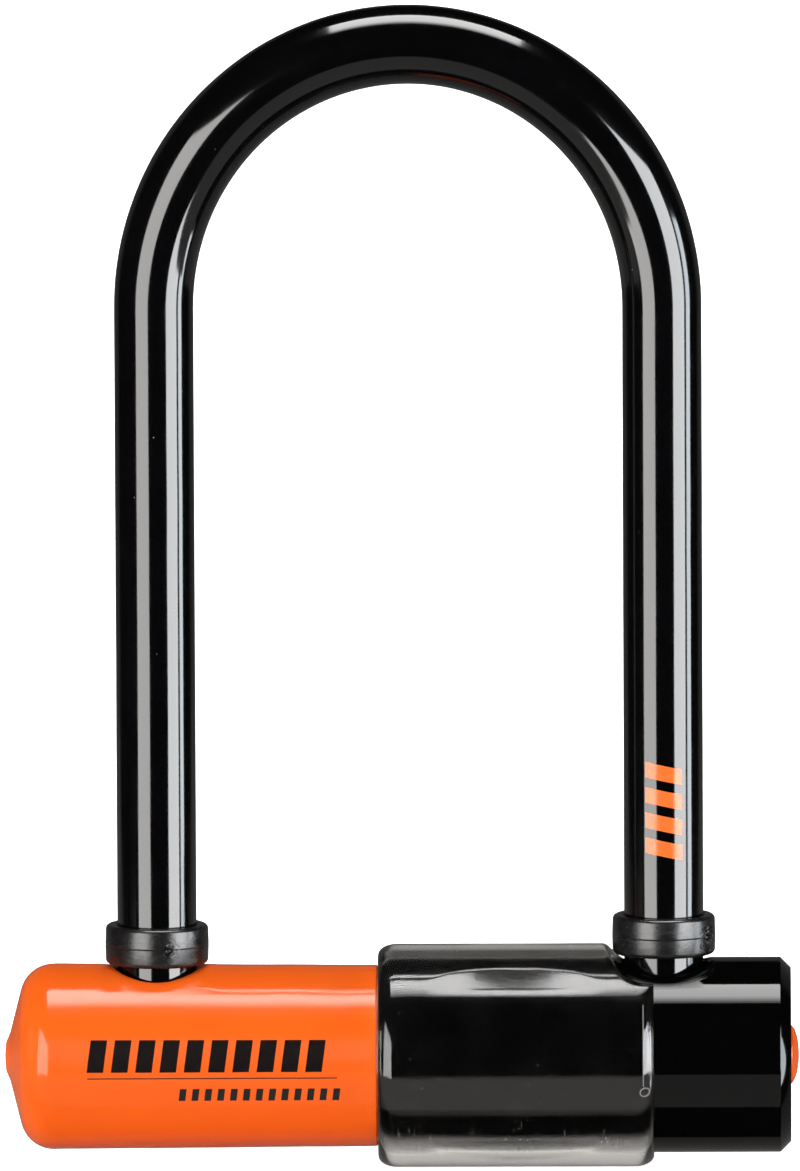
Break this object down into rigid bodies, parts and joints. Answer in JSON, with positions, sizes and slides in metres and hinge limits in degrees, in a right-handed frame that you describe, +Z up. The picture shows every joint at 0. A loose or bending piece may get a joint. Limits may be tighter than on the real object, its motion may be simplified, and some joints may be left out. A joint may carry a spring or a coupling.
{
  "type": "u lock",
  "caption": "U-shaped bicycle lock: coated steel shackle on a round crossbar with a disc cylinder, two deadbolts and a clear bumper sleeve.",
  "frame": {"origin": "bottom centre of the whole lock's box, under the middle of the crossbar's length", "axes": "+Z up the shackle's legs, +X along the crossbar towards the lock cylinder's end, -Y the front face"},
  "size_m": [0.13, 0.0366, 0.1914],
  "materials": {
    "black_vinyl": "glossy dipped vinyl",
    "black_rubber": "satin moulded",
    "orange_vinyl": "glossy dipped vinyl",
    "black_armour": "high gloss black",
    "clear_vinyl": "clear, slightly smoky",
    "hardened_steel": "zinc plated, satin",
    "bright_steel": "machined",
    "brass": "machined",
    "black_plastic": "satin"
  },
  "bodies": {
    "crossbar": {"crossbar_tube": "hardened_steel", "left_end_plug": "hardened_steel", "right_end_plug": "hardened_steel", "orange_sleeve": "orange_vinyl", "armour_sleeve": "black_armour", "end_button": "orange_vinyl", "clear_bumper": "clear_vinyl", "cylinder_housing": "brass", "housing_pin": "bright_steel", "left_outer_guide": "bright_steel", "left_outer_guide_pin": "bright_steel", "left_inner_guide": "bright_steel", "left_inner_guide_pin": "bright_steel", "right_guide": "bright_steel", "right_guide_pin": "bright_steel"},
    "shackle": {"shackle_core": "hardened_steel", "shackle_coating": "black_vinyl", "left_collar": "black_rubber", "right_collar": "black_rubber"},
    "core": {"lock_core": "brass", "front_disc": "bright_steel", "code_disc_1": "bright_steel", "code_disc_2": "bright_steel", "code_disc_3": "bright_steel", "code_disc_4": "bright_steel", "code_disc_5": "bright_steel", "code_disc_6": "bright_steel", "code_disc_7": "bright_steel", "sidebar": "bright_steel", "drive_cam": "hardened_steel", "left_drive_pin": "bright_steel", "right_drive_pin": "bright_steel", "cam_clip": "bright_steel"},
    "left_bolt": {"left_deadbolt": "hardened_steel"},
    "right_bolt": {"right_deadbolt": "hardened_steel"},
    "cover": {"dust_cover": "black_plastic"}
  },
  "joints": [
    {"name": "shackle_slide", "type": "slide", "parent": "crossbar", "child": "shackle", "axis": [0, 0, 1], "range_m": [0, 0.04]},
    {"name": "core_turn", "type": "hinge", "parent": "crossbar", "child": "core", "pos_m": [0.0185, 0, 0.0183], "axis": [0, 1, 0], "range_deg": [0, 90]},
    {"name": "right_bolt_slide", "type": "slide", "parent": "crossbar", "child": "right_bolt", "axis": [1, 0, 0], "range_m": [0, 0.00566]},
    {"name": "left_bolt_slide", "type": "slide", "parent": "crossbar", "child": "left_bolt", "axis": [-1, 0, 0], "range_m": [0, 0.00566]},
    {"name": "cover_slide", "type": "hinge", "parent": "crossbar", "child": "cover", "pos_m": [0.0185, 0, 0.0183], "axis": [-1, 0, 0], "range_deg": [0, 42]}
  ],
  "couplings": [
    {"joint": "right_bolt_slide", "follows": "core_turn", "m_per_rad": 0.0036},
    {"joint": "left_bolt_slide", "follows": "core_turn", "m_per_rad": 0.0036}
  ]
}
